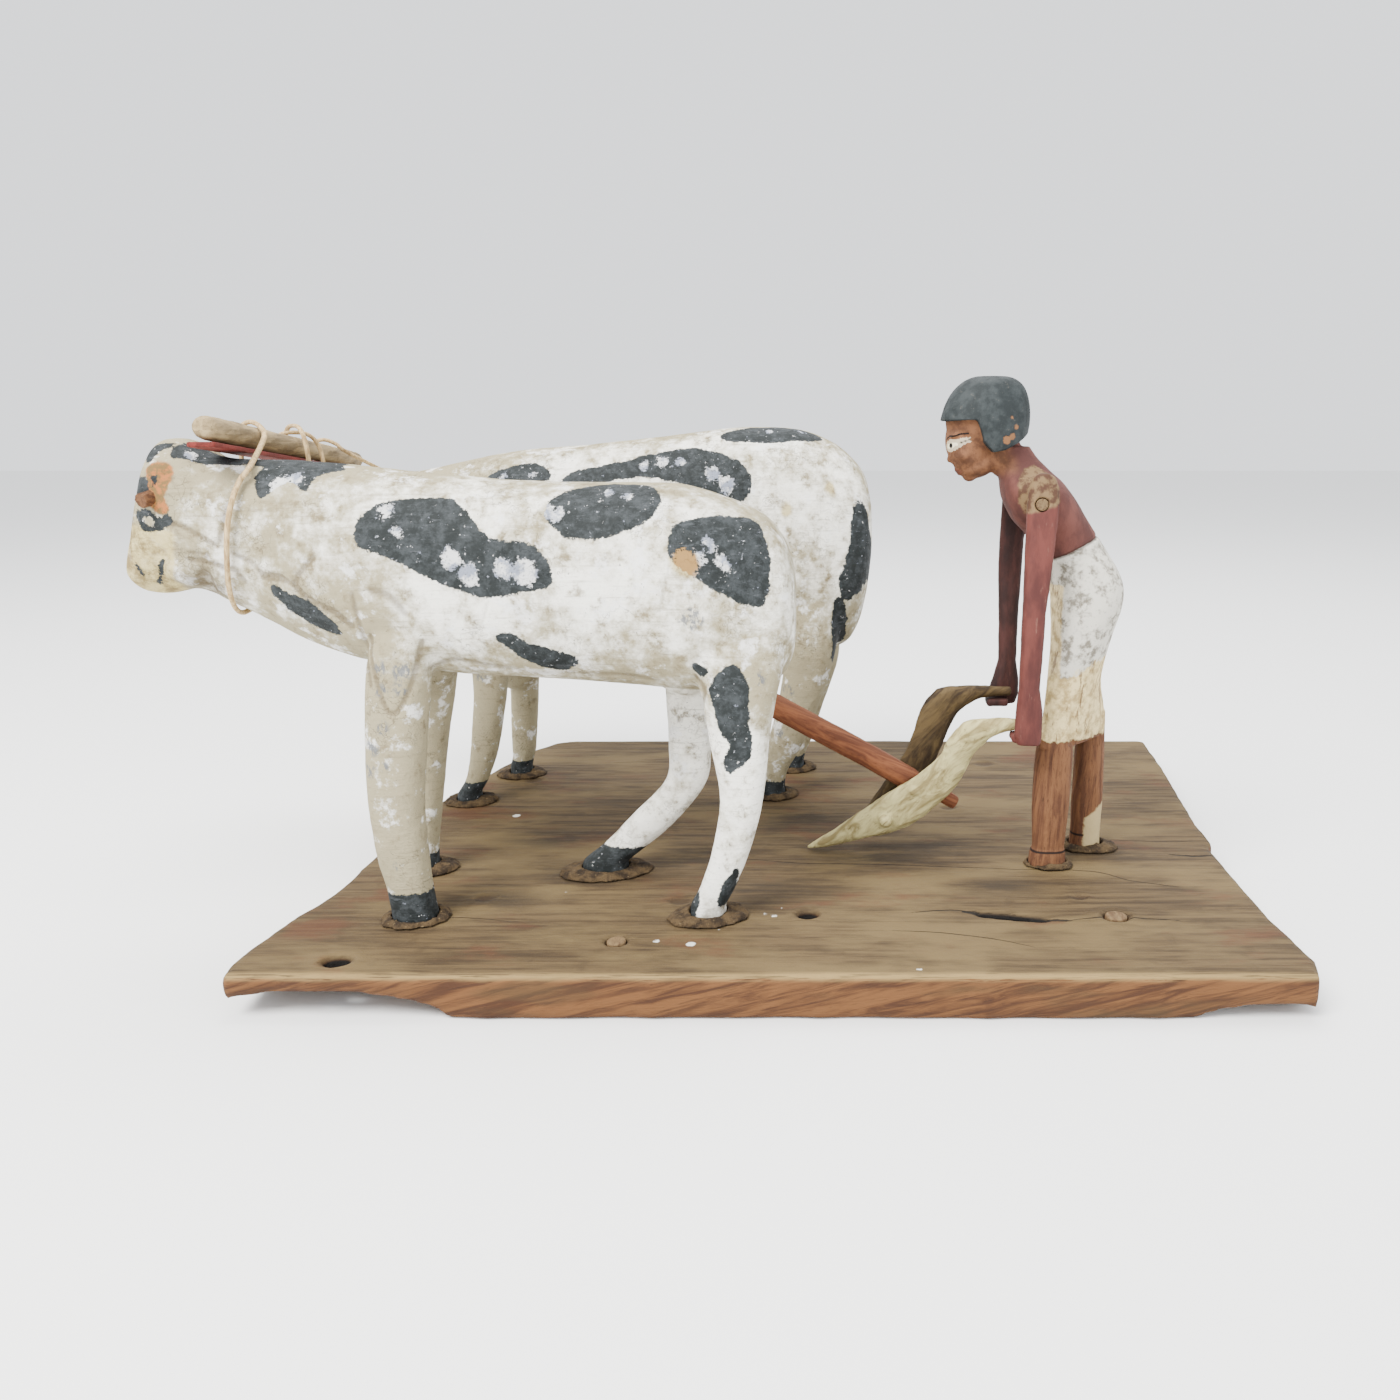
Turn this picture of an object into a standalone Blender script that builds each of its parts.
"""Painted wooden tomb model of a man ploughing with two yoked oxen, on a plank base.

The origin is at the centre of the plank's underside, +Z is up and the oxen face -X. The near ox stands
on the -Y side and the far ox on the +Y side. Sizes are in millimetres here and turned into metres when
a mesh is made. Heights are those over a plank of STANDING_LEVEL, and everything on the plank rises with
BOARD_THICK. Two things move: the plough lifts about the yoke bar, and each arm swings on its peg.
"""

import math

import bmesh
import bpy
from mathutils import Matrix, Vector

MM = 0.001
STANDING_LEVEL = 20.0  # height of the plank's top in the rows of points below
FIT = 0.35  # clearance between pieces that touch
RUNNING_GAP = 1.0  # clearance where pieces turn or slide on each other

# Plank base
BOARD_LENGTH = 440.0
BOARD_DEPTH = 344.0
BOARD_THICK = 20.0
BOARD_EDGE_BEVEL = 1.6
FOOT_PEG_RADIUS = 4.6
FOOT_PEG_LENGTH = 14.0
PLUG_LENGTH = 12.0

# Oxen
NEAR_OX_Y = -91.0
FAR_OX_Y = 72.0
TRUNK_SQUARENESS = 2.3
LEG_SQUARENESS = 2.4
HORN_PEG_RADIUS = 3.2
HORN_AHEAD = 1.5  # from the widest part of the head to the horn pegs' roots
FILL_HEIGHT = 4.5

# Yoke
YOKE_BAR_RADIUS = 5.1
BAR_KNOB = 1.04  # the bar's largest radius, as a share of its usual one
BATTEN_THICK = 2.2
BATTEN_WIDTH = 10.6
BATTEN_AHEAD = 0.8  # how far the batten sits ahead of the bar's axis
BATTEN_OVERHANG = 1.0  # past each end of the bar
YOKE_RISE = BATTEN_THICK + FIT + YOKE_BAR_RADIUS * BAR_KNOB  # from the necks to the bar's axis
YOKE_NEAR_END = Vector((-245.7, -121.0, 224.6 + YOKE_RISE))
YOKE_FAR_END = Vector((-283.0, 110.0, 205.65 + YOKE_RISE))
ROPE_RADIUS = 1.15
NECK_SLACK = 1.5  # from the rope to the smooth neck, which its flat faces stand off
LASHING_SLACK = 1.8  # room for a turn of the lashing to slant past the batten's edges

# Plough
BEAM_RADIUS = 6.1
BEAM_CROSSING_Y = -4.5  # where the beam passes under the yoke
BEAM_SLACK = 2.2  # from the yoke batten down to the beam
STILT_THICK = 9.2
STILT_PEG_RADIUS = 2.4
GRIP_RADIUS = 2.7
NEAR_GRIP_HEIGHT = 95.8
FAR_GRIP_HEIGHT = 100.8

# Ploughman
MAN_Y = -44.0
SHOULDER_X = 98.5
SHOULDER_HEIGHT = 199.0
SHOULDER_HALF_WIDTH = 21.8
SHOULDER_PEG_RADIUS = 2.8
SHOULDER_PEG_LENGTH = 19.0
ARM_GAP = 0.7
ARM_THICK = 8.6
KILT_HALF_WIDTH = 19.0
HIP_BULGE = 0.8
LEG_HALF_WIDTH = 6.4
STRIDE_HALF_WIDTH = KILT_HALF_WIDTH - LEG_HALF_WIDTH - 0.2
FINGER_THICK = 4.0
FINGER_REACH = 6.4
ARM_INNER = SHOULDER_HALF_WIDTH + ARM_GAP
HAND_INNER = KILT_HALF_WIDTH + HIP_BULGE + 0.4 + FINGER_REACH
GRIP_OUT = HAND_INNER - 0.6 - GRIP_RADIUS  # from the man's middle to each grip's axis

TOP = STANDING_LEVEL

parts = bpy.data.collections.new("ploughing_model")
cutters = bpy.data.collections.new("cutters")


def clear_scene():
    for obj in list(bpy.data.objects):
        bpy.data.objects.remove(obj)
    for collection in (parts, cutters):
        bpy.context.scene.collection.children.link(collection)
    cutters.hide_render = True


def make_material(name, colour, roughness=0.85):
    material = bpy.data.materials.new(name)
    material.use_nodes = True
    shader = material.node_tree.nodes["Principled BSDF"]
    shader.inputs["Base Color"].default_value = (*colour, 1)
    shader.inputs["Roughness"].default_value = roughness
    shader.inputs["Metallic"].default_value = 0.0
    return material


MATERIALS = {
    "board_wood": make_material("board_wood", (0.25, 0.17, 0.10), 0.9),
    "gesso": make_material("gesso", (0.74, 0.69, 0.58)),
    "mud_plaster": make_material("mud_plaster", (0.24, 0.18, 0.12), 0.95),
    "beam_wood": make_material("beam_wood", (0.38, 0.13, 0.07)),
    "stilt_wood": make_material("stilt_wood", (0.58, 0.48, 0.26)),
    "yoke_wood": make_material("yoke_wood", (0.36, 0.28, 0.19)),
    "red_paint": make_material("red_paint", (0.34, 0.06, 0.04)),
    "skin_paint": make_material("skin_paint", (0.22, 0.06, 0.05)),
    "peg_wood": make_material("peg_wood", (0.34, 0.20, 0.10)),
    "rope": make_material("rope", (0.60, 0.45, 0.27), 0.95),
}


def add_object(name, mesh, material=None, group=parts):
    obj = bpy.data.objects.new(name, mesh)
    group.objects.link(obj)
    if material:
        mesh.materials.append(MATERIALS[material])
    if group is cutters:
        obj.hide_render = True
        obj.display_type = "WIRE"
    return obj


def finish_mesh(name, work, material=None, group=parts, rise=BOARD_THICK - STANDING_LEVEL):
    """Turns a bmesh in millimetres into an object in metres with its faces pointing out."""
    bmesh.ops.remove_doubles(work, verts=work.verts, dist=0.01)
    bmesh.ops.translate(work, vec=(0, 0, rise), verts=work.verts)
    bmesh.ops.scale(work, vec=(MM, MM, MM), verts=work.verts)
    bmesh.ops.recalc_face_normals(work, faces=work.faces)
    mesh = bpy.data.meshes.new(name)
    work.to_mesh(mesh)
    work.free()
    mesh.shade_smooth()
    mesh.set_sharp_from_angle(angle=math.radians(40))
    return add_object(name, mesh, material, group)


def catmull_rom(a, b, c, d, t):
    """The number a share t of the way from b to c, on a smooth curve through all four."""
    slope = c - a
    bend = 2 * a - 5 * b + 4 * c - d
    twist = 3 * b - a - 3 * c + d
    return 0.5 * (2 * b + slope * t + bend * t**2 + twist * t**3)


def smooth_rows(rows, per_gap):
    """Catmull-Rom points through rows of numbers, per_gap of them for each gap."""
    ends = [rows[0], *rows, rows[-1]]
    out = []
    for four in zip(ends, ends[1:], ends[2:], ends[3:]):
        for step in range(per_gap):
            t = step / per_gap
            out.append(tuple(catmull_rom(*numbers, t) for numbers in zip(*four)))
    out.append(tuple(rows[-1]))
    return out


def oval(count, half_a, half_b, squareness):
    """Offsets (a, b) round a superellipse."""
    points = []
    for step in range(count):
        angle = 2 * math.pi * (step + 0.5) / count
        c, s = math.cos(angle), math.sin(angle)
        a = half_a * math.copysign(abs(c) ** (2 / squareness), c)
        b = half_b * math.copysign(abs(s) ** (2 / squareness), s)
        points.append((a, b))
    return points


def loft(name, rings, material=None, group=parts):
    """A skin through rings of points, closed by a cap at each end."""
    work = bmesh.new()
    rows = [[work.verts.new(point) for point in ring] for ring in rings]
    for row, after in zip(rows, rows[1:]):
        for i in range(len(row)):
            j = (i + 1) % len(row)
            work.faces.new((row[i], row[j], after[j], after[i]))
    work.faces.new(rows[0])
    work.faces.new(rows[-1])
    bmesh.ops.triangulate(work, faces=[face for face in work.faces if len(face.verts) > 4])
    return finish_mesh(name, work, material, group)


def cylinder(name, start, end, radius, material=None, group=parts, sides=12):
    """A round bar between two points."""
    work = bmesh.new()
    run = end - start
    bmesh.ops.create_cone(
        work, cap_ends=True, segments=sides, radius1=radius, radius2=radius, depth=run.length
    )
    turn = run.to_track_quat("Z", "Y").to_matrix().to_4x4()
    bmesh.ops.transform(work, matrix=Matrix.Translation((start + end) / 2) @ turn, verts=work.verts)
    return finish_mesh(name, work, material, group)


def ball(name, centre, size, material=None, group=parts, turn=0.0, segments=16):
    """A sphere stretched to half sizes along X, Y and Z and turned about Z."""
    work = bmesh.new()
    bmesh.ops.create_uvsphere(work, u_segments=segments, v_segments=segments // 2, radius=1)
    matrix = Matrix.Translation(centre) @ Matrix.Rotation(turn, 4, "Z") @ Matrix.Diagonal((*size, 1))
    bmesh.ops.transform(work, matrix=matrix, verts=work.verts)
    return finish_mesh(name, work, material, group)


def block(name, low, high, material=None, group=parts, bevel=0.0):
    """A box between two corners, with rounded edges where bevel is set."""
    work = bmesh.new()
    bmesh.ops.create_cube(work, size=1)
    size = high - low
    matrix = Matrix.Translation((low + high) / 2) @ Matrix.Diagonal((*size, 1))
    bmesh.ops.transform(work, matrix=matrix, verts=work.verts)
    if bevel:
        bmesh.ops.bevel(
            work, geom=work.edges[:], offset=bevel, segments=2, profile=0.5, affect="EDGES"
        )
    return finish_mesh(name, work, material, group)


def boolean(obj, cutter, operation="DIFFERENCE"):
    """Cuts obj by another object, or joins the two and removes the second."""
    modifier = obj.modifiers.new(operation.lower(), "BOOLEAN")
    modifier.solver = "EXACT"
    modifier.operation = operation
    modifier.object = cutter
    bpy.context.view_layer.update()
    evaluated = obj.evaluated_get(bpy.context.evaluated_depsgraph_get())
    mesh = bpy.data.meshes.new_from_object(evaluated)
    obj.modifiers.remove(modifier)
    obj.data = mesh
    mesh.name = obj.name
    mesh.shade_smooth()
    mesh.set_sharp_from_angle(angle=math.radians(40))
    if operation == "UNION":
        bpy.data.objects.remove(cutter)


def tube(name, points, radius, material, closed=False, resolution=2):
    """A round cord or stick along points, with filled caps where it is open."""
    curve = bpy.data.curves.new(name, "CURVE")
    curve.dimensions = "3D"
    curve.bevel_depth = radius * MM
    curve.bevel_resolution = resolution
    curve.use_fill_caps = not closed
    spline = curve.splines.new("POLY")
    spline.points.add(len(points) - 1)
    for place, point in zip(spline.points, points):
        lifted = Vector(point) + Vector((0, 0, BOARD_THICK - STANDING_LEVEL))
        place.co = (*(lifted * MM), 1)
    spline.use_cyclic_u = closed
    obj = bpy.data.objects.new(name, curve)
    parts.objects.link(obj)
    curve.materials.append(MATERIALS[material])
    return obj


# ---------------------------------------------------------------- plank base

# Foot places (x, y), used by the legs, the sockets in the plank and the plaster round them.
OX_FEET = {
    "near_ox_front_near": (-180.0, -119.0),
    "near_ox_front_far": (-195.0, -62.0),
    "near_ox_hind_near": (-50.0, -117.0),
    "near_ox_hind_far": (-106.0, -65.0),
    "far_ox_front_near": (-206.0, 40.0),
    "far_ox_front_far": (-190.0, 92.0),
    "far_ox_hind_near": (-30.0, 52.0),
    "far_ox_hind_far": (-20.0, 105.0),
}
MAN_FEET = {
    "ploughman_near": (112.0, MAN_Y - STRIDE_HALF_WIDTH),
    "ploughman_far": (136.5, MAN_Y + STRIDE_HALF_WIDTH),
}
PLUGS = {"hole_plug_front": (-87.0, -141.0, 4.2), "hole_plug_right": (132.0, -116.0, 5.0)}
OPEN_HOLES = ((-198.0, -159.0, 6.0), (-6.0, -114.0, 5.0))


def board_outline():
    """Corners of the worn plank, as seen from above and running anticlockwise from the near left."""
    left, right = -BOARD_LENGTH / 2, BOARD_LENGTH / 2
    near, far = -BOARD_DEPTH / 2, BOARD_DEPTH / 2
    return [
        (left - 19, near),
        (right - 20, near),
        (right - 16, near + 14),
        (right - 19, near + 54),
        (right - 18, near + 141),
        (right - 14, near + 146),
        (right - 13, near + 176),
        (right - 1, near + 280),
        (right + 4, far - 2),
        (right, far),
        (left + 44, far),
        (left + 33, far - 6),
        (left + 22, far - 22),
        (left + 11, far - 60),
        (left - 5, near + 215),
        (left - 9, near + 136),
        (left - 10, near + 79),
        (left - 19, near + 42),
        (left - 21, near + 12),
    ]


def board_cutters():
    """Sockets, worn holes, the slot and the broken-away undersides."""
    feet = {**OX_FEET, **MAN_FEET}
    bottom = TOP - FOOT_PEG_LENGTH - 2 * FIT
    for name, (x, y) in feet.items():
        start, end = Vector((x, y, bottom)), Vector((x, y, TOP + 5))
        cylinder(f"{name}_socket", start, end, FOOT_PEG_RADIUS + FIT, group=cutters)
    for name, (x, y, radius) in PLUGS.items():
        start, end = Vector((x, y, TOP - PLUG_LENGTH - 2 * FIT)), Vector((x, y, TOP + 5))
        cylinder(f"{name}_bore", start, end, radius + FIT, group=cutters)
    for number, (x, y, radius) in enumerate(OPEN_HOLES):
        ball(f"worn_hole_{number}", Vector((x, y, TOP)), (radius, radius * 0.8, 9), group=cutters)
    near, left, right = -BOARD_DEPTH / 2, -BOARD_LENGTH / 2, BOARD_LENGTH / 2
    low = STANDING_LEVEL - BOARD_THICK
    ball("slot", Vector((86, -115, TOP)), (22, 2.8, 11), group=cutters, turn=math.radians(-13))
    ball("left_chip", Vector((left + 16, near - 4, low)), (55, 44, 12.5), group=cutters)
    ball("right_chip", Vector((right - 36, near - 4, low - 2)), (34, 26, 9), group=cutters)


def build_board():
    curve = bpy.data.curves.new("base_board", "CURVE")
    curve.dimensions = "2D"
    curve.fill_mode = "BOTH"
    curve.extrude = BOARD_THICK / 2 * MM
    spline = curve.splines.new("POLY")
    outline = board_outline()
    spline.points.add(len(outline) - 1)
    for place, (x, y) in zip(spline.points, outline):
        place.co = (x * MM, y * MM, 0, 1)
    spline.use_cyclic_u = True
    flat = bpy.data.objects.new("base_outline", curve)
    parts.objects.link(flat)
    bpy.context.view_layer.update()
    evaluated = flat.evaluated_get(bpy.context.evaluated_depsgraph_get())
    mesh = bpy.data.meshes.new_from_object(evaluated)
    bpy.data.objects.remove(flat)
    work = bmesh.new()
    work.from_mesh(mesh)
    bmesh.ops.scale(work, vec=(1 / MM, 1 / MM, 1 / MM), verts=work.verts)
    bmesh.ops.remove_doubles(work, verts=work.verts, dist=0.01)
    bmesh.ops.dissolve_limit(work, angle_limit=0.01, verts=work.verts, edges=work.edges)
    bmesh.ops.translate(work, vec=(0, 0, BOARD_THICK / 2), verts=work.verts)
    rim = [edge for edge in work.edges if abs(edge.verts[0].co.z - edge.verts[1].co.z) < 0.01]
    bmesh.ops.bevel(
        work, geom=rim, offset=BOARD_EDGE_BEVEL, segments=1, profile=0.5, affect="EDGES"
    )
    board = finish_mesh("base_board", work, "board_wood", rise=0)
    board_cutters()
    for cutter in list(cutters.objects):
        boolean(board, cutter)
    for name, (x, y, radius) in PLUGS.items():
        start, end = Vector((x, y, TOP - PLUG_LENGTH)), Vector((x, y, TOP + 0.4))
        cylinder(name, start, end, radius, "peg_wood")


# ---------------------------------------------------------------- oxen

# Rows of (x, height of the back, height of the belly, half width) from the nose to the rump.
NEAR_TRUNK = [
    (-298, 175, 169, 9),
    (-294, 186, 164, 14),
    (-290, 197, 162.5, 16.5),
    (-285.5, 213, 162, 18.5),
    (-280, 225.5, 162.5, 20.5),
    (-273, 228.2, 164, 22),
    (-265, 226.2, 163, 23.5),
    (-257, 220.9, 159.5, 25),
    (-248, 219.4, 155, 26),
    (-236, 219.2, 148.5, 27),
    (-215, 218.3, 138, 30),
    (-190, 216, 131, 33),
    (-160, 212.8, 127, 34),
    (-125, 210.2, 125, 34),
    (-90, 209.7, 122.5, 34),
    (-62, 209, 120, 35),
    (-42, 204, 119, 34),
    (-26, 197, 121, 31),
    (-16, 186, 127, 27),
    (-11.5, 172, 137, 19),
]
FAR_TRUNK = [
    (-331, 159, 153, 9),
    (-327, 170, 148, 14),
    (-323, 181, 146.5, 16.5),
    (-318, 197, 146, 18.5),
    (-312, 209.5, 146, 20.5),
    (-304, 212.2, 147.5, 22),
    (-294, 210.5, 146, 23.5),
    (-284, 206.6, 142, 25),
    (-273, 206, 138, 26),
    (-256, 206.4, 133, 28),
    (-232, 208.5, 126, 30),
    (-205, 214, 121, 33),
    (-173, 220, 118, 36),
    (-127, 224, 116, 37),
    (-81, 229, 114, 37),
    (-45, 233, 110, 37),
    (-15, 232, 106, 36),
    (4, 225.5, 106, 34),
    (17, 215.5, 114, 31),
    (24.5, 204.5, 136, 26),
    (27.5, 190, 158, 18),
]

# Rows of (height, x in front, x behind, y, half width) from the top of the leg to the hoof. The foot
# comes from OX_FEET, so a leg's rows stop above the hoof.
LEGS = {
    "near_ox_front_near": (
        (153, -182, -169, -112.5, 7),
        (146, -188, -165, -113.5, 10),
        (138, -191.5, -165, -114.5, 11),
        (103, -194.7, -169, -117, 10.5),
        (76, -195.7, -172.5, -118, 9.5),
        (50, -194, -172.5, -118.5, 9),
        (36, -191, -172, -119, 8.5),
    ),
    "near_ox_front_far": (
        (150, -196, -174, -70, 8),
        (138, -196, -170, -68, 10),
        (116, -194, -172.5, -66, 10),
        (86, -195, -179.5, -64, 8.5),
        (56, -197, -185, -62.5, 7.5),
        (36, -200, -188.5, -62, 7),
    ),
    "near_ox_hind_near": (
        (158, -47, -22, -108, 9),
        (148, -53, -16, -110, 12),
        (136, -54, -15.5, -112, 12.5),
        (120, -51, -19, -114, 12),
        (102, -48, -22, -116, 10),
        (76, -44, -25, -117, 8.5),
        (52, -48, -31, -117, 7.8),
        (36, -53, -37.5, -117, 7.8),
    ),
    "near_ox_hind_far": (
        (146, -66, -34, -74, 9),
        (134, -72, -32, -72, 11),
        (110, -73, -44, -69, 10),
        (86, -73, -52, -66.5, 8.5),
        (68, -75, -55, -66, 8),
        (50, -92, -68, -65.5, 8),
        (36, -105, -83, -65, 8),
    ),
    "far_ox_front_near": (
        (140, -208, -180, 47, 9),
        (126, -208, -180, 46, 11),
        (96, -200, -180, 43, 9),
        (57, -203, -187, 41, 8),
        (36, -207, -194, 40, 7.5),
    ),
    "far_ox_front_far": (
        (140, -200, -174, 92, 9),
        (126, -200, -174, 93, 11),
        (82, -194, -176, 92, 9),
        (43, -195, -180, 92, 8),
        (33, -195, -182, 92, 7.5),
    ),
    "far_ox_hind_near": (
        (156, -28, 6, 54, 10),
        (142, -30, 11, 53, 13),
        (114, -24, 8, 52, 13),
        (90, -24, 2.5, 52, 10),
        (54, -32, -11, 52, 8.5),
        (36, -36, -21, 52, 8),
    ),
    "far_ox_hind_far": (
        (152, -22, 18, 95, 10),
        (136, -24, 19, 98, 13),
        (112, -21, 11, 101, 12),
        (90, -19, 8.5, 104, 10.5),
        (65, -20, 0, 105, 9),
        (45, -23, -6, 105, 8.5),
        (33, -26, -11, 105, 8),
    ),
}


def trunk_section(rows, x):
    """Mid height, half height and half width of a trunk at x."""
    for a, b in zip(rows, rows[1:]):
        if a[0] <= x <= b[0]:
            t = (x - a[0]) / (b[0] - a[0])
            top, low, half = (p + (q - p) * t for p, q in zip(a[1:], b[1:]))
            return (top + low) / 2, (top - low) / 2, half
    raise ValueError(f"x {x} is off the trunk")


def trunk(name, rows, y):
    """The neck, head and barrel of an ox as one carved block."""
    rings = []
    for x, top, low, half in smooth_rows(rows, 2):
        offsets = oval(16, half, (top - low) / 2, TRUNK_SQUARENESS)
        rings.append([(x, y + a, (top + low) / 2 + b) for a, b in offsets])
    return loft(name, rings, "gesso")


def leg_rings(foot, rows, grow=0.0):
    """Rings of a leg, its hoof and its foot peg, from the top down; grow makes them larger all round."""
    rings = []
    foot_x, foot_y = foot
    ankle = rows[-1]
    hoof_y = ankle[3]
    half_hoof = (ankle[2] - ankle[1]) / 2 + 0.6
    rows = [*rows, (TOP + 6, foot_x - half_hoof, foot_x + half_hoof - 1, hoof_y, ankle[4] + 0.4)]
    top = smooth_rows(rows, 1)
    for z, front, back, y, half in top:
        lift = grow if z == rows[0][0] else 0
        offsets = oval(12, (back - front) / 2 + grow, half + grow, LEG_SQUARENESS)
        rings.append([((front + back) / 2 + a, y + b, z + lift) for a, b in offsets])
    half_hoof += grow
    peg = FOOT_PEG_RADIUS + grow
    offsets = oval(12, half_hoof, ankle[4] + 0.6 + grow, LEG_SQUARENESS)
    rings.append([(foot_x + a, foot_y + b, TOP + FIT - grow * 0.5) for a, b in offsets])
    offsets = oval(12, peg, peg, 2)
    rings.append([(foot_x + a, foot_y + b, TOP + FIT - grow * 0.5) for a, b in offsets])
    rings.append([(foot_x + a, foot_y + b, TOP - FOOT_PEG_LENGTH) for a, b in offsets])
    return rings


def plaster_fill(name, foot, size, leg_cutter, turn=0.0):
    """A lump of mud plaster pressed round a foot, lying on the plank."""
    x, y = foot
    fill = ball(name, Vector((x, y, TOP + FIT)), (*size, FILL_HEIGHT), "mud_plaster", turn=turn, segments=12)
    span = max(size) + 5
    low = Vector((x - span, y - span, TOP - 20))
    high = Vector((x + span, y + span, TOP + FIT))
    floor = block(f"{name}_floor", low, high, group=cutters)
    boolean(fill, floor)
    boolean(fill, leg_cutter)
    return fill


def build_ox(prefix, rows, y):
    body = trunk(f"{prefix}_body", rows, y)
    for leg, foot in OX_FEET.items():
        if not leg.startswith(prefix):
            continue
        loft(f"{leg}_leg", leg_rings(foot, LEGS[leg]), "gesso")
        cutter = loft(f"{leg}_leg_socket", leg_rings(foot, LEGS[leg], FIT), group=cutters)
        boolean(body, cutter)
        if leg == "near_ox_hind_far":
            size = (24, 15)
        elif leg == "near_ox_hind_near":
            size = (19, 14)
        else:
            size = (16, 13)
        plaster_fill(f"{leg}_foot_plaster", foot, size, cutter, math.radians(12))
    head_x, top, low, half = rows[5]
    for side, sign in (("near", -1), ("far", 1)):
        root = Vector((head_x - HORN_AHEAD, y + sign * (half - 7), top - 23))
        tip = Vector((head_x - HORN_AHEAD - 3, y + sign * (half + 3), top - 25))
        reach = (tip - root).normalized()
        bore = cylinder(
            f"{prefix}_{side}_horn_bore", root, tip + reach * 8, HORN_PEG_RADIUS + FIT, group=cutters, sides=8
        )
        boolean(body, bore)
        start = root + reach * FIT
        cylinder(f"{prefix}_{side}_horn_peg", start, tip, HORN_PEG_RADIUS, "peg_wood", sides=8)


# ---------------------------------------------------------------- yoke and its ropes


def on_bar(y):
    """The point of the yoke bar's axis at a given y."""
    t = (y - YOKE_NEAR_END.y) / (YOKE_FAR_END.y - YOKE_NEAR_END.y)
    return YOKE_NEAR_END.lerp(YOKE_FAR_END, t)


def build_yoke():
    run = YOKE_FAR_END - YOKE_NEAR_END
    turn = run.to_track_quat("Z", "Y").to_matrix()
    knobs = (BAR_KNOB, 0.98, 1.0, 0.97, 1.02, 0.98, 1.0, 0.96, 0.98)
    shares = [(number + 1.5) / (len(knobs) + 2) for number in range(len(knobs))]
    profile = [(0.0, 0.72), (0.012, 1.0), *zip(shares, knobs), (0.988, 0.94), (1.0, 0.7)]
    rings = []
    for share, knob in profile:
        centre = YOKE_NEAR_END + run * share
        offsets = oval(12, YOKE_BAR_RADIUS * knob, YOKE_BAR_RADIUS * knob, 2)
        rings.append([centre + turn @ Vector((a, b, 0)) for a, b in offsets])
    loft("yoke_bar", rings, "yoke_wood")
    drop = YOKE_RISE - BATTEN_THICK / 2
    work = bmesh.new()
    bmesh.ops.create_cube(work, size=1)
    frame = run.to_track_quat("Y", "Z").to_matrix().to_4x4()
    centre = (YOKE_NEAR_END + YOKE_FAR_END) / 2 + frame @ Vector((-BATTEN_AHEAD, 0, -drop))
    size = Matrix.Diagonal((BATTEN_WIDTH, run.length + 2 * BATTEN_OVERHANG, BATTEN_THICK, 1))
    bmesh.ops.transform(work, matrix=Matrix.Translation(centre) @ frame @ size, verts=work.verts)
    finish_mesh("yoke_batten", work, "red_paint")


def neck_rope(name, rows, y, side):
    """A rope round an ox's neck that climbs over the yoke bar on one side (+1 far, -1 near).

    It leaves the bar on the side behind the yoke, hugs the neck down to the throat, and comes back up
    in front of the bar. The route is taken from the neck's own sections, so it follows the neck.
    """
    gap = ROPE_RADIUS + NECK_SLACK
    cross_y = y + side * (trunk_section(rows, on_bar(y).x)[2] + gap)
    bar = on_bar(cross_y)
    behind, ahead = bar.x + 20, bar.x - 7.4
    hug = []
    steps = 18
    for step in range(steps + 1):
        angle = math.radians(58 - step * 253 / steps)
        x = behind + (ahead - behind) * (step / steps) ** 0.9
        mid, half_height, half_width = trunk_section(rows, x)
        c, s = math.cos(angle), math.sin(angle)
        across = (half_width + gap) * math.copysign(abs(c) ** (2 / TRUNK_SQUARENESS), c)
        up = (half_height + gap) * math.copysign(abs(s) ** (2 / TRUNK_SQUARENESS), s)
        hug.append(Vector((x, y - side * across, mid + up)))
    reach = YOKE_BAR_RADIUS * BAR_KNOB + ROPE_RADIUS + FIT
    low = YOKE_BAR_RADIUS + BATTEN_THICK
    rise = [
        bar + Vector((-7.4, side * 1.0, -low - 4)),
        bar + Vector((-7.6, side * 1.0, 0)),
        bar + Vector((-reach * 0.75, 0, reach * 0.78)),
        bar + Vector((0, -side * 1.5, reach + 0.4)),
        bar + Vector((reach * 0.8, -side * 4, reach * 0.72)),
        bar + Vector((reach + 2.2, -side * 9, 0.4)),
    ]
    loop = [tuple(point) for point in hug + rise]
    closed = loop[-1:] + loop + loop[:2]
    points = smooth_rows(closed, 2)[2:-4]
    return tube(name, points, ROPE_RADIUS, "rope", closed=True)


def lashing(name, extra, diagonal):
    """One diagonal turn of rope over the yoke bar and under the beam."""
    bar = on_bar(BEAM_CROSSING_Y)
    beam = Vector(BEAM_ROUTE[-3][:3])
    gap = ROPE_RADIUS + RUNNING_GAP
    top = bar.z + YOKE_BAR_RADIUS + gap + extra
    low = beam.z - BEAM_RADIUS * 1.12 - gap - extra
    spread = 0.3 * extra
    half_along = BATTEN_WIDTH / 2 + LASHING_SLACK + gap + spread
    half_across = BEAM_RADIUS + FIT + gap + spread
    points = []
    count = 28
    for step in range(count):
        angle = 2 * math.pi * step / count
        c, s = math.cos(angle), math.sin(angle)
        out = math.copysign(abs(c) ** 0.7, c)
        up = (top - low) / 2 * math.copysign(abs(s) ** 0.8, s)
        x, y = half_along * out, half_across * out
        lean = -math.tan(BEAM_SLOPE) * x * max(0.0, -s)
        points.append(Vector((bar.x + x, beam.y + diagonal * y, (top + low) / 2 + up + lean)))
    return tube(name, points, ROPE_RADIUS, "rope", closed=True)


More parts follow.
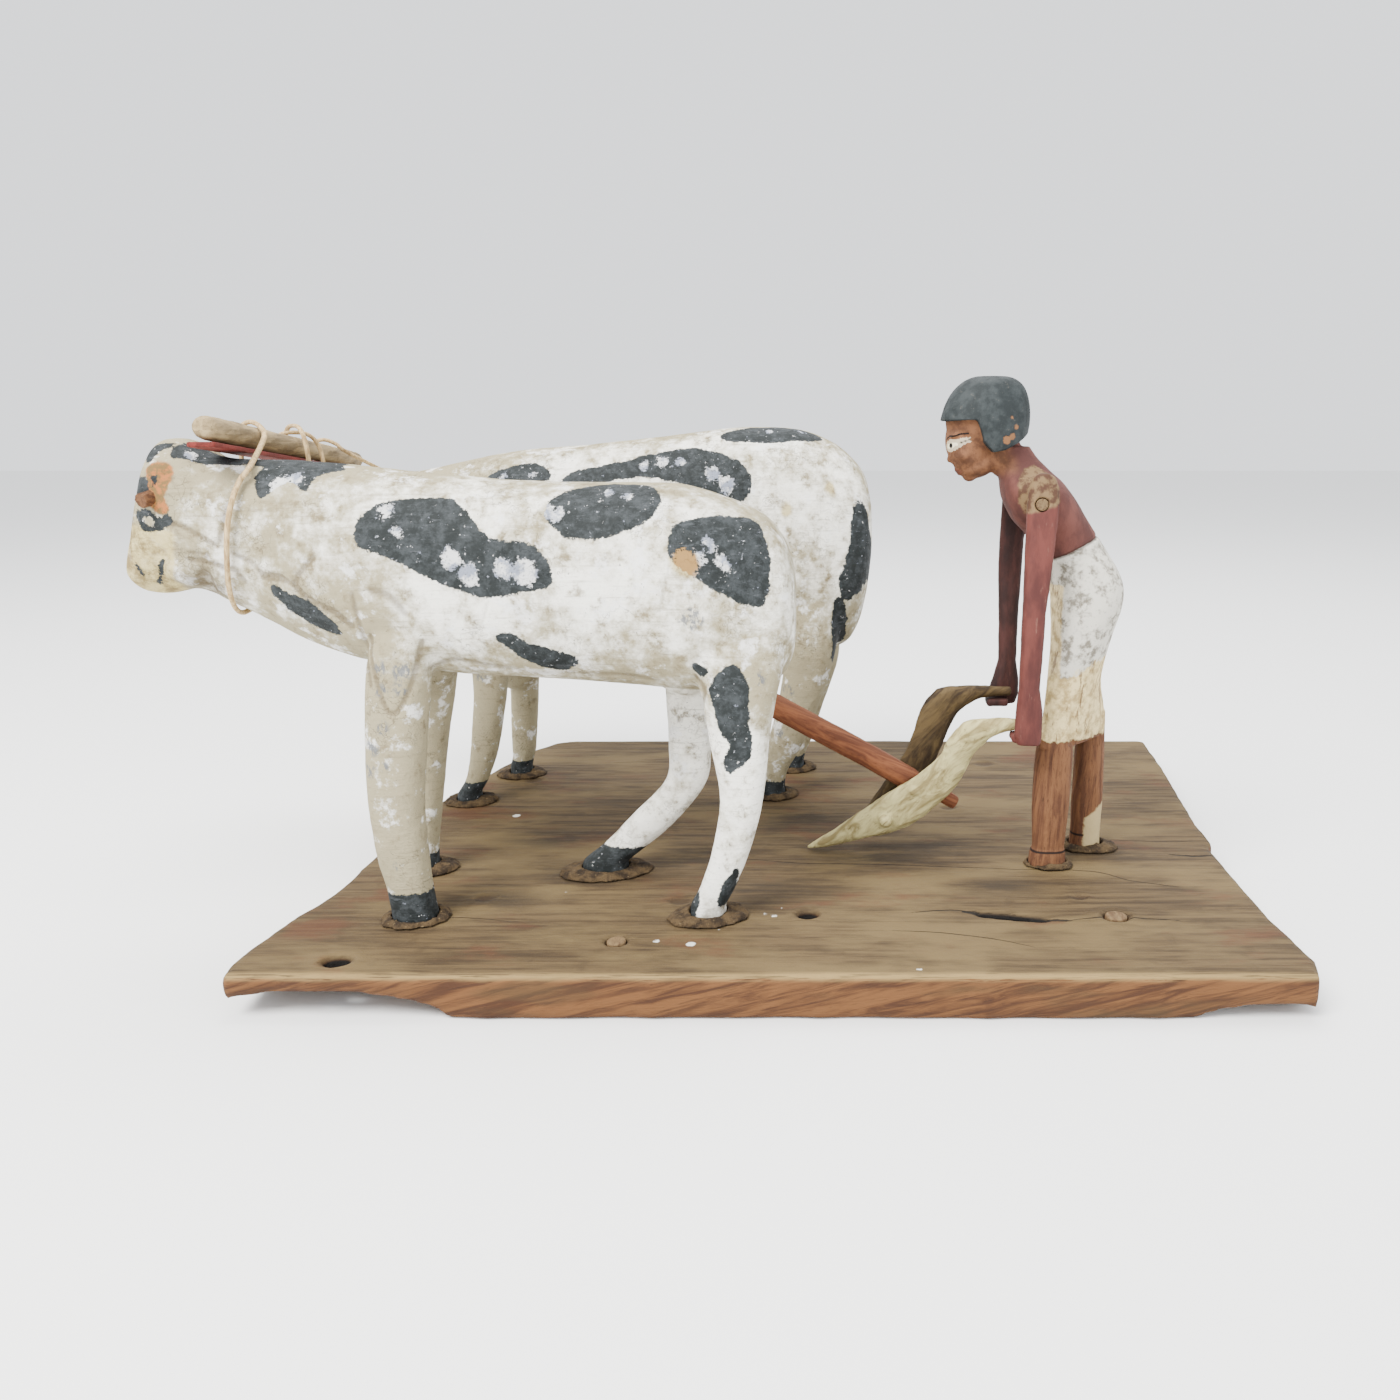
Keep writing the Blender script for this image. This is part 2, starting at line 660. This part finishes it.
def build_ropes():
    neck_rope("near_neck_rope", NEAR_TRUNK, NEAR_OX_Y, 1)
    neck_rope("far_neck_rope", FAR_TRUNK, FAR_OX_Y, -1)
    lashing("beam_lashing_inner", 0.0, 1)
    lashing("beam_lashing_outer", 2 * ROPE_RADIUS + RUNNING_GAP, -1)


# ---------------------------------------------------------------- plough

BEAM_SLOPE = math.radians(24.5)
CROSSING = on_bar(BEAM_CROSSING_Y)
BEAM_DROP = (YOKE_RISE + BEAM_SLACK + BEAM_RADIUS) / math.cos(BEAM_SLOPE)
# Rows of (x, y, z, radius share) from the knob behind the stilts to the end in front of the yoke.
BEAM_ROUTE = [
    (66.5, -37.5, 44.5, 0.8),
    (65.2, -37.5, 45.2, 1.0),
    (45.5, -36.8, 58.0, 1.0),
    (-26.0, -30.0, 96.5, 1.02),
    (-150.0, -17.0, 157.0, 1.0),
    (CROSSING.x, BEAM_CROSSING_Y, CROSSING.z - BEAM_DROP, 1.0),
    (CROSSING.x - 16.5, BEAM_CROSSING_Y + 1.7, CROSSING.z - BEAM_DROP + 6.5, 0.95),
    (CROSSING.x - 18.0, BEAM_CROSSING_Y + 1.9, CROSSING.z - BEAM_DROP + 7.0, 0.7),
]
# Rows of (x, spread, z, half height) along each stilt from its foot to its grip. At spread 0 the stilt
# lies against the beam, and at spread 1 it is at the hand.
NEAR_STILT = [
    (-8.0, -0.64, 21.4, 0.7),
    (-4.0, -0.6, 23.0, 2.0),
    (9.0, -0.46, 29.0, 4.4),
    (22.0, -0.3, 36.5, 7.4),
    (36.7, -0.1, 44.5, 10.4),
    (52.0, 0.12, 57.2, 9.4),
    (59.5, 0.26, 65.6, 8.6),
    (65.0, 0.4, 75.0, 7.4),
    (68.0, 0.5, 82.4, 7.6),
    (73.0, 0.65, 89.4, 7.4),
    (80.0, 0.82, 93.4, 4.8),
    (87.5, 0.96, 95.3, GRIP_RADIUS + 0.5),
    (93.0, 1.0, NEAR_GRIP_HEIGHT, GRIP_RADIUS),
    (98.0, 1.0, NEAR_GRIP_HEIGHT + 0.2, GRIP_RADIUS * 0.8),
]
FAR_STILT = [
    (25.0, 0.0, 34.5, 4.0),
    (33.0, 0.0, 42.5, 7.0),
    (43.0, 0.0, 54.5, 8.6),
    (50.0, 0.05, 66.0, 8.4),
    (55.0, 0.15, 79.0, 8.4),
    (58.0, 0.3, 88.0, 9.0),
    (63.5, 0.45, 95.6, 8.6),
    (72.5, 0.7, 98.9, 5.6),
    (80.5, 0.92, 100.5, GRIP_RADIUS + 0.8),
    (88.0, 1.0, FAR_GRIP_HEIGHT, GRIP_RADIUS),
    (97.0, 1.0, FAR_GRIP_HEIGHT + 0.2, GRIP_RADIUS * 0.8),
]
STILT_PEG = (45.5, 57.6)
SOLE_PEG = (31.5, 41.5)


def stilt(name, rows, side):
    """A flattened, bent branch on one side of the beam (-1 near, +1 far).

    Its sections stand square to its route.
    """
    beside_beam = BEAM_ROUTE[2][1] + side * (BEAM_RADIUS + 2 * FIT + STILT_THICK / 2)
    at_hand = MAN_Y + side * GRIP_OUT
    path = smooth_rows(rows, 2)
    rings = []
    for i, (x, spread, z, half) in enumerate(path):
        before, after = path[max(i - 1, 0)], path[min(i + 1, len(path) - 1)]
        run = Vector((after[0] - before[0], 0, after[2] - before[2])).normalized()
        up = Vector((-run.z, 0, run.x))
        centre = Vector((x, beside_beam + (at_hand - beside_beam) * spread, z))
        offsets = oval(12, min(STILT_THICK / 2, half), half, 2.2)
        rings.append([centre + Vector((0, a, 0)) + up * b for a, b in offsets])
    return loft(name, rings, "stilt_wood")


def build_plough():
    rings = []
    path = smooth_rows(BEAM_ROUTE, 2)
    for i, (x, y, z, share) in enumerate(path):
        before, after = path[max(i - 1, 0)], path[min(i + 1, len(path) - 1)]
        run = Vector(after[:3]) - Vector(before[:3])
        turn = run.to_track_quat("Z", "Y").to_matrix()
        offsets = oval(12, BEAM_RADIUS * share, BEAM_RADIUS * share, 2)
        rings.append([Vector((x, y, z)) + turn @ Vector((a, b, 0)) for a, b in offsets])
    beam = loft("plough_beam", rings, "beam_wood")
    near = stilt("near_plough_stilt", NEAR_STILT, -1)
    far = stilt("far_plough_stilt", FAR_STILT, 1)
    reach = BEAM_RADIUS + 2 * FIT + STILT_THICK + 2
    middle = BEAM_ROUTE[2][1]
    for name, (x, z), pierced in (
        ("stilt_cross_peg", STILT_PEG, (near, beam, far)),
        ("sole_cross_peg", SOLE_PEG, (near, far)),
    ):
        start, end = Vector((x, middle - reach, z)), Vector((x, middle + reach, z))
        bore = cylinder(f"{name}_bore", start, end, STILT_PEG_RADIUS + FIT, group=cutters)
        for piece in pierced:
            boolean(piece, bore)
        inset = Vector((0, 0.5, 0))
        cylinder(name, start + inset, end - inset, STILT_PEG_RADIUS, "peg_wood")


# ---------------------------------------------------------------- ploughman

# Rows of (height, x in front, x behind, half width, skew): the skew slides the near side forward.
KILT_AND_TORSO = [
    (81.0, 105.0, 143.5, KILT_HALF_WIDTH, 0.82),
    (84.0, 105.5, 143.5, KILT_HALF_WIDTH, 0.8),
    (97.0, 107.5, 141.5, KILT_HALF_WIDTH, 0.62),
    (112.0, 109.0, 139.0, KILT_HALF_WIDTH, 0.45),
    (132.0, 110.5, 141.5, KILT_HALF_WIDTH + HIP_BULGE, 0.25),
    (149.0, 110.5, 144.8, KILT_HALF_WIDTH + HIP_BULGE, 0.1),
    (159.0, 110.0, 144.3, KILT_HALF_WIDTH - 0.2, 0.0),
    (168.0, 108.5, 140.5, KILT_HALF_WIDTH - 2.0, 0.0),
    (176.0, 103.5, 135.2, KILT_HALF_WIDTH - 4.0, 0.0),
    (183.5, 96.7, 130.0, KILT_HALF_WIDTH - 2.4, 0.0),
    (191.0, 89.8, 124.8, SHOULDER_HALF_WIDTH - 1.4, 0.0),
    (199.0, 85.7, 119.7, SHOULDER_HALF_WIDTH, 0.0),
    (204.5, 84.2, 115.5, SHOULDER_HALF_WIDTH, 0.0),
    (208.5, 83.6, 112.0, SHOULDER_HALF_WIDTH - 4.0, 0.0),
    (212.5, 82.0, 107.5, 12.0, 0.0),
    (218.0, 80.0, 101.5, 9.5, 0.0),
    (222.0, 79.0, 97.0, 9.0, 0.0),
]
# The head under its wig is an egg that leans forward and narrows to the chin.
HEAD_X = 76.5
HEAD_Z = 232.0
HEAD_HALF_HEIGHT = 23.4
HEAD_HALF_DEPTH = 20.4
HEAD_HALF_WIDTH = 16.2
HEAD_LEAN = 3.0  # how far the crown is behind the middle
CHIN_TAPER = 0.16
# Rows of (height, x in front, x behind, splay) from the shoulder cap to the wrist and hand.
NEAR_ARM = [
    (212.6, 97.6, 101.4, 0.0),
    (210.8, 94.6, 104.6, 0.0),
    (206.5, 93.0, 106.4, 0.0),
    (200.0, 92.4, 107.0, 0.0),
    (190.0, 92.1, 106.4, 0.2),
    (170.0, 91.8, 104.6, 0.6),
    (150.0, 91.6, 102.4, 1.0),
    (128.0, 91.4, 101.8, 1.0),
    (115.0, 91.4, 101.2, 1.0),
    (104.0, 90.4, 103.0, 1.0),
    (92.5, 90.2, 103.2, 1.0),
    (NEAR_GRIP_HEIGHT - GRIP_RADIUS - RUNNING_GAP - FINGER_THICK, 91.4, 102.6, 1.0),
]
FAR_ARM = [
    (212.6, 97.0, 101.0, 0.0),
    (210.8, 93.0, 103.6, 0.0),
    (206.0, 90.6, 105.0, 0.0),
    (198.0, 89.4, 104.4, 0.0),
    (178.0, 89.0, 101.2, 0.4),
    (158.0, 89.4, 101.1, 1.0),
    (137.0, 90.4, 100.4, 1.0),
    (116.0, 91.0, 100.2, 1.0),
    (106.0, 88.4, 102.0, 1.0),
    (98.0, 85.6, 102.2, 1.0),
    (FAR_GRIP_HEIGHT - GRIP_RADIUS - RUNNING_GAP - FINGER_THICK, 86.6, 100.6, 1.0),
]
ANKLE_HEIGHT = 29.0


def man_body():
    """Head, torso, kilt and legs carved as one block, with a foot peg under each leg."""
    rings = []
    for z, front, back, half, skew in KILT_AND_TORSO:
        across = math.sqrt(max(((back - front) / 2) ** 2 - (skew * half) ** 2, 25.0))
        offsets = oval(16, across, half, 2.3)
        rings.append([((front + back) / 2 + a + skew * b, MAN_Y + b, z) for a, b in offsets])
    body = loft("ploughman_body", rings, "skin_paint")
    rings = []
    levels = 12
    for level in range(levels):
        angle = math.pi * (level + 0.5) / levels
        height, girth = -math.cos(angle), math.sin(angle) ** 0.85
        girth *= 1 + CHIN_TAPER * height
        offsets = oval(16, HEAD_HALF_DEPTH * girth, HEAD_HALF_WIDTH * girth, 2.2)
        middle = HEAD_X + HEAD_LEAN * height
        z = HEAD_Z + HEAD_HALF_HEIGHT * height / math.cos(math.pi / 2 / levels)
        rings.append([(middle + a, MAN_Y + b, z) for a, b in offsets])
    boolean(body, loft("head", rings, "skin_paint"), "UNION")
    near_leg = ((92, 105.5, 121.5), (84, 104.6, 122.0), (70, 103.8, 122.2), (50, 103.6, 121.6))
    far_leg = ((92, 129.5, 143.0), (80, 129.2, 143.6), (60, 129.0, 144.2), (45, 128.8, 144.3))
    for (name, (x, y)), rows in zip(MAN_FEET.items(), (near_leg, far_leg)):
        rings = []
        last = rows[-1]
        rows = [*rows, (ANKLE_HEIGHT, last[1] + 0.2, last[2] - 0.4)]
        rows = [*rows, (TOP + 4, last[1] - 0.8, last[2] - 0.2), (TOP + FIT, last[1] - 0.8, last[2] - 0.2)]
        for z, front, back in rows:
            offsets = oval(12, (back - front) / 2, LEG_HALF_WIDTH, 2.4)
            rings.append([((front + back) / 2 + a, y + b, z) for a, b in offsets])
        leg = loft(f"{name}_leg", rings, "skin_paint")
        boolean(body, leg, "UNION")
        start, end = Vector((x, y, TOP - FOOT_PEG_LENGTH)), Vector((x, y, TOP + 8))
        peg = cylinder(f"{name}_peg", start, end, FOOT_PEG_RADIUS, "skin_paint")
        boolean(body, peg, "UNION")
    return body


def arm(name, rows, side, grip_height):
    """An arm from its shoulder cap to a hand whose fingers hook under a plough grip."""
    rings = []
    for z, front, back, splay in rows:
        middle = ARM_INNER + (HAND_INNER - ARM_INNER) * splay + ARM_THICK / 2
        offsets = oval(12, (back - front) / 2, ARM_THICK / 2, 2.6)
        rings.append([((front + back) / 2 + a, MAN_Y + side * (middle + b), z) for a, b in offsets])
    piece = loft(name, rings, "skin_paint")
    finger_top = grip_height - GRIP_RADIUS - RUNNING_GAP
    front = rows[-1][1]
    ends = sorted((MAN_Y + side * (HAND_INNER - FINGER_REACH), MAN_Y + side * (HAND_INNER + 4)))
    low = Vector((front - 2.0, ends[0], finger_top - FINGER_THICK + 0.2))
    high = Vector((front + 9.0, ends[1], finger_top))
    fingers = block(f"{name}_fingers", low, high, "skin_paint", bevel=1.0)
    boolean(piece, fingers, "UNION")
    return piece


def build_man():
    body = man_body()
    for name, (x, y) in MAN_FEET.items():
        last = 8.6 if "near" in name else 8.4
        rings = []
        for z in (TOP - 3, TOP + 12):
            offsets = oval(12, last + 0.6 + FIT, LEG_HALF_WIDTH + FIT, 2.4)
            rings.append([(x + 0.2 + a, y + b, z) for a, b in offsets])
        cutter = loft(f"{name}_leg_bore", rings, group=cutters)
        size = (17, 12) if "far" in name else (13, 9.5)
        plaster_fill(f"{name}_foot_plaster", (x + 1, y), size, cutter, math.radians(-10))
    for side, prefix, rows, grip in (
        (-1, "near", NEAR_ARM, NEAR_GRIP_HEIGHT),
        (1, "far", FAR_ARM, FAR_GRIP_HEIGHT),
    ):
        piece = arm(f"{prefix}_arm", rows, side, grip)
        outer = ARM_INNER + ARM_THICK
        end = Vector((SHOULDER_X, MAN_Y + side * (outer + 0.4), SHOULDER_HEIGHT))
        start = end - Vector((0, side * SHOULDER_PEG_LENGTH, 0))
        inset = Vector((0, side, 0))
        radius = SHOULDER_PEG_RADIUS + FIT
        bore = cylinder(f"{prefix}_shoulder_bore", start - inset, end + inset * 3, radius, group=cutters)
        boolean(body, bore)
        boolean(piece, bore)
        cylinder(f"{prefix}_shoulder_peg", start, end, SHOULDER_PEG_RADIUS, "peg_wood")


def hang_on(name, place, pieces):
    """Parents pieces to an empty on their joint's axis, where they stay put."""
    empty = bpy.data.objects.new(name, None)
    empty.location = (place + Vector((0, 0, BOARD_THICK - STANDING_LEVEL))) * MM
    parts.objects.link(empty)
    bpy.context.view_layer.update()
    for piece in pieces:
        obj = bpy.data.objects[piece]
        obj.parent = empty
        obj.matrix_parent_inverse = empty.matrix_world.inverted()


clear_scene()
build_board()
for ox, trunk_rows, middle in (("near_ox", NEAR_TRUNK, NEAR_OX_Y), ("far_ox", FAR_TRUNK, FAR_OX_Y)):
    build_ox(ox, trunk_rows, middle)
build_yoke()
build_ropes()
build_plough()
build_man()
plough = ["plough_beam", "near_plough_stilt", "far_plough_stilt", "stilt_cross_peg", "sole_cross_peg"]
hang_on("plough_lift_axis", CROSSING, [*plough, "beam_lashing_inner", "beam_lashing_outer"])
shoulder = Vector((SHOULDER_X, MAN_Y, SHOULDER_HEIGHT))
hang_on("near_arm_axis", shoulder - Vector((0, ARM_INNER, 0)), ["near_arm"])
hang_on("far_arm_axis", shoulder + Vector((0, ARM_INNER, 0)), ["far_arm"])
